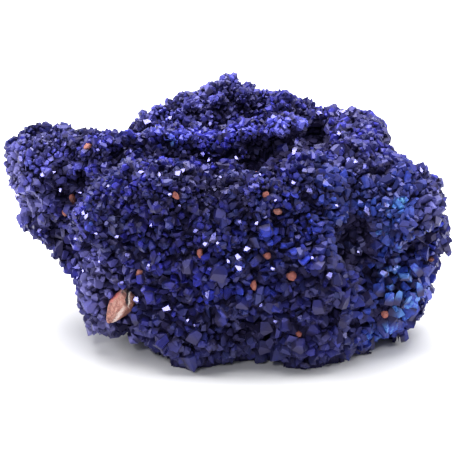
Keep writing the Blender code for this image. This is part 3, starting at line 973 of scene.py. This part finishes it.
crystal_azurite, shader, place = new_material("azurite_crystals")
tint, polish, rise, shelter, haze, azure = (
    place.node("ShaderNodeAttribute", {"attribute_name": title}, output=2)
    for title in ("tint", "polish", "rise", "shelter", "haze", "azure")
)
cloud = place.noise(1700.0, 3.0)
clear = tint * 0.85 + cloud * 0.8 - 0.33
blue = place.node("ShaderNodeValToRGB", {"stops": BLUES}, Fac=clear)
greenish = place.node("ShaderNodeValToRGB", {"stops": GREENISH_BLUES}, Fac=clear)
# Painted reflection: clean faces mix in the grey blue of the room that they mirror.
blue = blue.mixed(PAINTED_REFLECTION, polish.clamped(0.45, 0.75) * (1 - tint.clamped(0.6, 0.8)) * 0.35)
blue = blue.mixed(greenish, azure * 0.7)
# Painted sheen: pale lavender mixed in at the listed spots, in cloudy patches.
blue = blue.mixed(PAINTED_SHEEN_COLOUR, haze * (0.4 + cloud * 1.2))
height = place.node("ShaderNodeSeparateXYZ", output=2, Vector=place)
# Greyer towards the bottom, in cloudy patches, less so where the blue turns azure.
greying = (1 - height.clamped(0.0, GREYER_UP_TO)) * (1 - azure.clamped(0.1, 0.5)) * cloud.clamped(0.3, 0.6)
blue = blue.mixed(GREYER_LOW_DOWN, greying * 0.75)
# Painted shade: crystals darken towards FOOT at their feet and where they are sheltered.
lit = rise.clamped(0.2, 0.85) * (1 - shelter.clamped(0.1, 0.6) * 0.85)
plug(blue.mixed(FOOT, 1 - lit), shader, "Base Color")
print("colours mixed in:", ["steel", "greenish", "pale", "greyer_below", "foot"])

# %% [markdown]
# Only the crystals with the highest polish are smooth enough to flash. The rest have a satin sheen
# and fine growth lines, which a weak bump gives. In a hollow a second shader takes over with painted
# shade: a darker colour and a weaker shine, for the light that doesn't get in there.

# %% Azurite surfaces
plug(polish.clamped(0.86, 0.97) * -0.36 + 0.42, shader, "Roughness")
growth_lines = place.noise(2600.0, 2.0)
plug(growth_lines.bump(0.12, 0.1 * MM), shader, "Normal")
shader.inputs["IOR"].default_value = AZURITE_IOR
shader.inputs["Specular IOR Level"].default_value = 0.42
shader.inputs["Specular Tint"].default_value = VIOLET_SHEEN
tree = crystal_azurite.node_tree
hollow_shade_bsdf = tree.nodes.new("ShaderNodeBsdfPrincipled")
hollow_shade_bsdf.inputs["Base Color"].default_value = PAINTED_HOLLOW_SHADE
hollow_shade_bsdf.inputs["Specular Tint"].default_value = SHADOW_SHEEN
hollow_shade_bsdf.inputs["Roughness"].default_value = 0.6
hollow_shade_bsdf.inputs["Specular IOR Level"].default_value = 0.15
# Painted shade: in hollows the darker, duller shader takes over.
blend = tree.nodes.new("ShaderNodeMixShader")
tree.links.new((shelter.clamped(0.15, 0.65) * 0.85).socket, blend.inputs[0])
tree.links.new(shader.outputs["BSDF"], blend.inputs[1])
tree.links.new(hollow_shade_bsdf.outputs["BSDF"], blend.inputs[2])
tree.links.new(blend.outputs[0], tree.nodes["Material Output"].inputs["Surface"])

body_azurite, shader, place = new_material("azurite_in_shadow")
grain = place.noise(1200.0, 4.0)
plug(place.node("ShaderNodeValToRGB", {"stops": IN_SHADOW}, Fac=grain), shader, "Base Color")
plug(grain * 0.3 + 0.3, shader, "Roughness")
plug(grain.bump(0.5, 0.4 * MM), shader, "Normal")
shader.inputs["Specular Tint"].default_value = SHADOW_SHEEN

finished(object_from("azurite_body", body_shape), body_azurite, ["azurite_mass"])
for piece in pieces.values():
    finished(piece, crystal_azurite, ["azurite_mass"])
print("azurite pieces:", 1 + len(pieces))

# %% [markdown]
# ## The bits of host rock
#
# The rock is a pink and tan sandstone that the crystals grew on. A chip of it broke off with flat
# faces and worn edges. So the large chip starts as a ball, planes push in what lies beyond them, and
# noise roughens it. Then it is stretched to the size of its solid.


# %% Chip shape
CHIP_SEED = 4
CHIP_FACES = 12
BLUNT_END = (Vector((1, 0.2, 0)).normalized(), 0.72)
FLATTENED = 0.92  # how much of what lies beyond a plane is pushed in
TAPER = 0.4


def broken_stone(seed, cuts):
    """A ball of radius 1 with flat faces broken off it, blunt at one end."""
    draw = random.Random(seed)
    shape = bmesh.new()
    bmesh.ops.create_icosphere(shape, subdivisions=5, radius=1)
    planes = [
        (Vector([draw.gauss(0, 1) for _ in range(3)]).normalized(), draw.uniform(0.72, 0.9))
        for _ in range(cuts)
    ]
    for vertex in shape.verts:
        for across, reach in [*planes, BLUNT_END]:
            beyond = vertex.co.dot(across) - reach
            if beyond > 0:
                vertex.co -= across * beyond * FLATTENED
        vertex.co.y *= 1 + TAPER * vertex.co.x
    return shape


chip = broken_stone(CHIP_SEED, CHIP_FACES)
extent = np.abs(np.array([vertex.co for vertex in chip.verts])).max(axis=0)
for vertex in chip.verts:
    bumps = 0.05 * noise.noise(vertex.co * 3) + 0.03 * noise.noise(vertex.co * 9)
    inside = Vector(np.array(vertex.co * (1 + bumps)) / extent * chip_half + chip_middle)
    vertex.co = CHIP_WAYS @ inside
print("chip:", len(chip.faces), "faces, half sizes in mm", [round(h / MM, 2) for h in chip_half])

# %% [markdown]
# The small grains were worn round before the crystals closed around them. Their solids are coarse
# hulls, so each one is subdivided, smoothed, and pushed in and out a little by noise.

# %% Grain shapes
GRAIN_LARGER = 1.25
GRAIN_ROUNDS = 3
GRAIN_RELIEF = 0.07 * MM
GRAIN_BUMPS = 0.5 * MM
PINK_GRAINS = ("03", "05", "07", "12", "16", "18")


def roughened(shape):
    """Subdivides a hull, rounds it a little, and pushes its points in and out."""
    for _ in range(GRAIN_ROUNDS):
        bmesh.ops.subdivide_edges(shape, edges=shape.edges, cuts=1, use_grid_fill=True)
        bmesh.ops.smooth_vert(
            shape, verts=shape.verts, factor=0.5, use_axis_x=True, use_axis_y=True, use_axis_z=True
        )
    shape.normal_update()
    for vertex in shape.verts:
        coarse = noise.noise(vertex.co / GRAIN_BUMPS)
        fine = noise.noise(vertex.co / (GRAIN_BUMPS * 0.3) + Vector((7, 0, 0)))
        vertex.co += vertex.normal * GRAIN_RELIEF * (coarse + 0.45 * fine - 0.3)


grain_shapes = {"pink": bmesh.new(), "orange": bmesh.new()}
grain_nodes = {"pink": [], "orange": []}
for name in ROCKS:
    if name == "rock_chip":
        continue
    kind = "pink" if name[-2:] in PINK_GRAINS else "orange"
    grain_nodes[kind].append(name)
    one = copy_of(name)
    middle = sum((vertex.co for vertex in one.verts), Vector()) / len(one.verts)
    for vertex in one.verts:
        vertex.co = middle + (vertex.co - middle) * GRAIN_LARGER
    roughened(one)
    carrier = bpy.data.meshes.new("grain")
    one.to_mesh(carrier)
    one.free()
    grain_shapes[kind].from_mesh(carrier)
    bpy.data.meshes.remove(carrier)
print("grains:", {kind: len(names) for kind, names in grain_nodes.items()})

# %% [markdown]
# Sandstone is a mass of pale and dark grains with rusty patches. A Voronoi texture gives the grains
# their bump, and a softer noise the patches. The chip has more to it. Two wires run along it and
# across it, each from -1 to 1, and sums of them mark a red patch, a grey one, a pale painted highlight
# along one edge, painted shade on the side beyond that edge, and a crack with a white vein beside it.


# %% Rock materials
SAND_SCALE = 5200.0
CHIP_STONE = [(0.38, (0.27, 0.11, 0.09)), (0.50, (0.42, 0.17, 0.13)), (0.60, (0.50, 0.27, 0.22))]
RED_STAIN = (0.52, 0.06, 0.06, 1)
GREY_STAIN = (0.17, 0.12, 0.11, 1)
# A painted highlight along the chip's lit edge, and painted shade on its side beyond it.
PAINTED_EDGE_HIGHLIGHT = (0.85, 0.68, 0.62, 1)
PAINTED_SIDE_SHADE = (0.16, 0.05, 0.03, 1)
CRACK = (0.02, 0.015, 0.02, 1)
VEIN = (0.80, 0.70, 0.62, 1)


def rough_stone(shader, place, colour, patches, strength):
    """Plugs in the colour, and grains of sand that roughen the stone and lift its surface."""
    sand = place.node("ShaderNodeTexVoronoi", {"feature": "F1"}, Vector=place, Scale=SAND_SCALE)
    plug(colour, shader, "Base Color")
    plug(sand * 0.3 + 0.5, shader, "Roughness")
    plug((sand + patches).bump(strength, 0.2 * MM), shader, "Normal")


def rock_material(name, light, dark, stain):
    """Sandstone: light and dark grains, with stained patches."""
    material, shader, place = new_material(name)
    patches = place.noise(520.0, 5.0)
    stops = [(0.38, dark), (0.52, light), (0.60, light), (0.72, stain)]
    colour = place.node("ShaderNodeValToRGB", {"stops": stops}, Fac=patches)
    rough_stone(shader, place, colour, patches, 0.5)
    return material


chip_rock, shader, place = new_material("pink_sandstone_chip")
chip_centre = CHIP_WAYS @ Vector(chip_middle)
offset = place.node("ShaderNodeVectorMath", {"operation": "SUBTRACT"}, i0=place, i1=chip_centre)
DOT = {"operation": "DOT_PRODUCT"}
along, across = (
    offset.node("ShaderNodeVectorMath", DOT, output=1, i0=offset, i1=CHIP_WAYS.col[k]) * (1 / chip_half[k])
    for k in range(2)
)
mottle = place.noise(1500.0, 4.0)
wander = (mottle - 0.5) * 0.9
rock = place.node("ShaderNodeValToRGB", {"stops": CHIP_STONE}, Fac=mottle)
rock = rock.mixed(RED_STAIN, (along * 0.4 - across + wander).clamped(0.55, 0.85) * 0.8)
rock = rock.mixed(GREY_STAIN, (along - across * 0.5 + wander).clamped(0.55, 0.85) * 0.9)
# A painted highlight along one edge, and painted shade on the side beyond it.
edge = across - 0.38 + wander * 0.5
edge_highlight = (1 - edge.math("ABSOLUTE", edge).clamped(0.03, 0.18)) * (1 - along.clamped(-0.2, 0.2))
rock = rock.mixed(PAINTED_EDGE_HIGHLIGHT, edge_highlight * 0.85)
rock = rock.mixed(PAINTED_SIDE_SHADE, edge.clamped(0.16, 0.34) * 0.9)
crack = across + along * 1.1 - 0.75 + wander * 0.4
upper = along.clamped(0.05, 0.25)
rock = rock.mixed(CRACK, crack.clamped(-0.34, -0.22) * (1 - crack.clamped(-0.06, 0.0)) * upper)
rock = rock.mixed(VEIN, crack.clamped(-0.05, 0.0) * (1 - crack.clamped(0.06, 0.12)) * upper)
rough_stone(shader, place, rock, mottle, 0.6)
finished(object_from("sandstone_chip", chip), chip_rock, ["rock_chip"])

PINKS = (0.42, 0.16, 0.135), (0.20, 0.07, 0.055), (0.34, 0.09, 0.06)  # light, dark and stain
RUSTS = (0.34, 0.10, 0.08), (0.13, 0.04, 0.035), (0.40, 0.15, 0.10)
pink_rock = rock_material("pink_sandstone_grains", *PINKS)
rusty_rock = rock_material("rusty_grains", *RUSTS)
pink_grains = object_from("pink_grains", grain_shapes["pink"])
rusty_grains = object_from("rusty_grains", grain_shapes["orange"])
finished(pink_grains, pink_rock, grain_nodes["pink"])
finished(rusty_grains, rusty_rock, grain_nodes["orange"])
print("faces of the grains:", [len(grains.data.polygons) for grains in (pink_grains, rusty_grains)])
